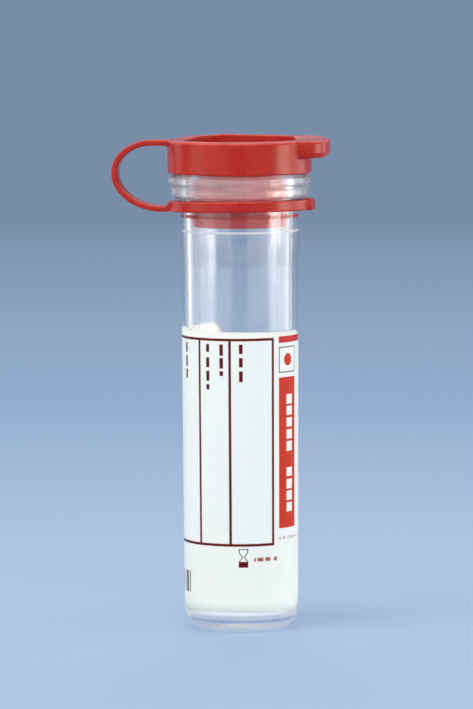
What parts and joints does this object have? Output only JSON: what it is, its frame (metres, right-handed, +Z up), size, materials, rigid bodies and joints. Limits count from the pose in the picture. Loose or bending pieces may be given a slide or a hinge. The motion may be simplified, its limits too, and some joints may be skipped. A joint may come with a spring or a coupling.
{
  "type": "blood collection tube",
  "caption": "Small clear sample tube with a flat base, a collar, a wrap-round label and a red push cap tethered by a strap to a ring on the neck.",
  "frame": {"origin": "middle of the tube's flat base, on the tube's axis", "axes": "+Z up the tube's axis to the cap, +X towards the cap's thumb tab, -X towards the strap"},
  "size_m": [0.0205, 0.0134, 0.0461],
  "materials": {
    "clear_polypropylene": "clear, slightly milky moulded polypropylene",
    "label_paper": "white coated paper",
    "red_polyethylene": "satin moulded polyethylene"
  },
  "bodies": {
    "tube_body": {"tube": "clear_polypropylene", "label": "label_paper"},
    "ring_body": {"neck_ring": "red_polyethylene", "strap": "red_polyethylene"},
    "cap_body": {"cap": "red_polyethylene"}
  },
  "joints": [
    {"name": "closure_turn", "type": "hinge", "parent": "tube_body", "child": "ring_body", "pos_m": [0, 0, 0.0396], "axis": [0, 0, 1], "continuous": true},
    {"name": "cap_lift", "type": "slide", "parent": "ring_body", "child": "cap_body", "axis": [0, 0, 1], "range_m": [0, 0.008], "deforming": ["strap"]}
  ]
}
